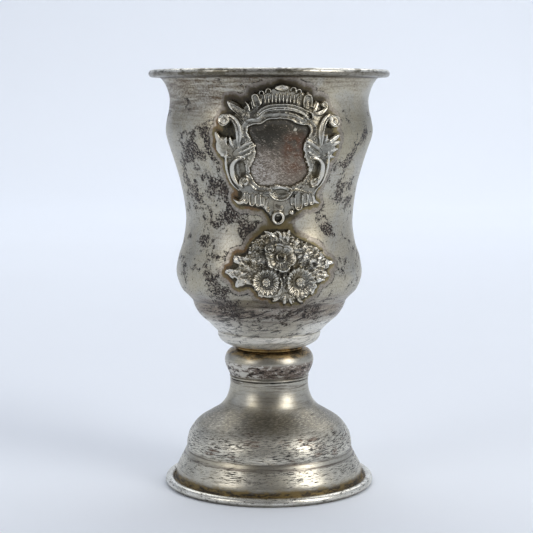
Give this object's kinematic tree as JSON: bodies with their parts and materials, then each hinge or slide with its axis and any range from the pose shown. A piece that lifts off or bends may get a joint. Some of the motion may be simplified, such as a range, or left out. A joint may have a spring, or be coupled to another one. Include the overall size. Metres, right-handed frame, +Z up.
{
  "type": "communion chalice",
  "caption": "Small metal chalice: baluster bowl with a soldered frame and flower spray, screwed to a domed foot with a knop.",
  "frame": {"origin": "centre of the foot on the surface that it stands on", "axes": "+Z up along the stem; the ornaments face -Y"},
  "size_m": [0.0722, 0.0722, 0.1255],
  "materials": {
    "bowl_silver": "silver plate, worn satin, with brown and grey tarnish",
    "foot_silver": "silver plate, worn satin, with specks and fine turned scratches",
    "ring_silver": "silver wire, polished by handling",
    "cast_silver": "cast silver, bright on the raised parts and dark in the hollows",
    "brass": "dull brass",
    "steel": "dull steel"
  },
  "bodies": {
    "foot": {"foot": "foot_silver", "foot_ring": "ring_silver", "knop": "foot_silver", "threaded_bush": "brass", "bush_washer": "steel", "bush_nut": "brass"},
    "washer": {"seat_washer": "brass"},
    "bowl": {"threaded_stud": "brass", "bowl_base": "bowl_silver", "bowl": "bowl_silver", "lip_ring": "ring_silver", "cartouche": "cast_silver", "flower_spray": "cast_silver"}
  },
  "joints": [
    {"name": "thread_lift", "type": "slide", "parent": "foot", "child": "washer", "axis": [0, 0, 1], "range_m": [0, 0.008]},
    {"name": "bowl_turn", "type": "hinge", "parent": "washer", "child": "bowl", "pos_m": [0, 0, 0.0426], "axis": [0, 0, 1], "range_deg": [0, 2880]}
  ],
  "couplings": [
    {"joint": "thread_lift", "follows": "bowl_turn", "m_per_rad": 0.00015915}
  ]
}
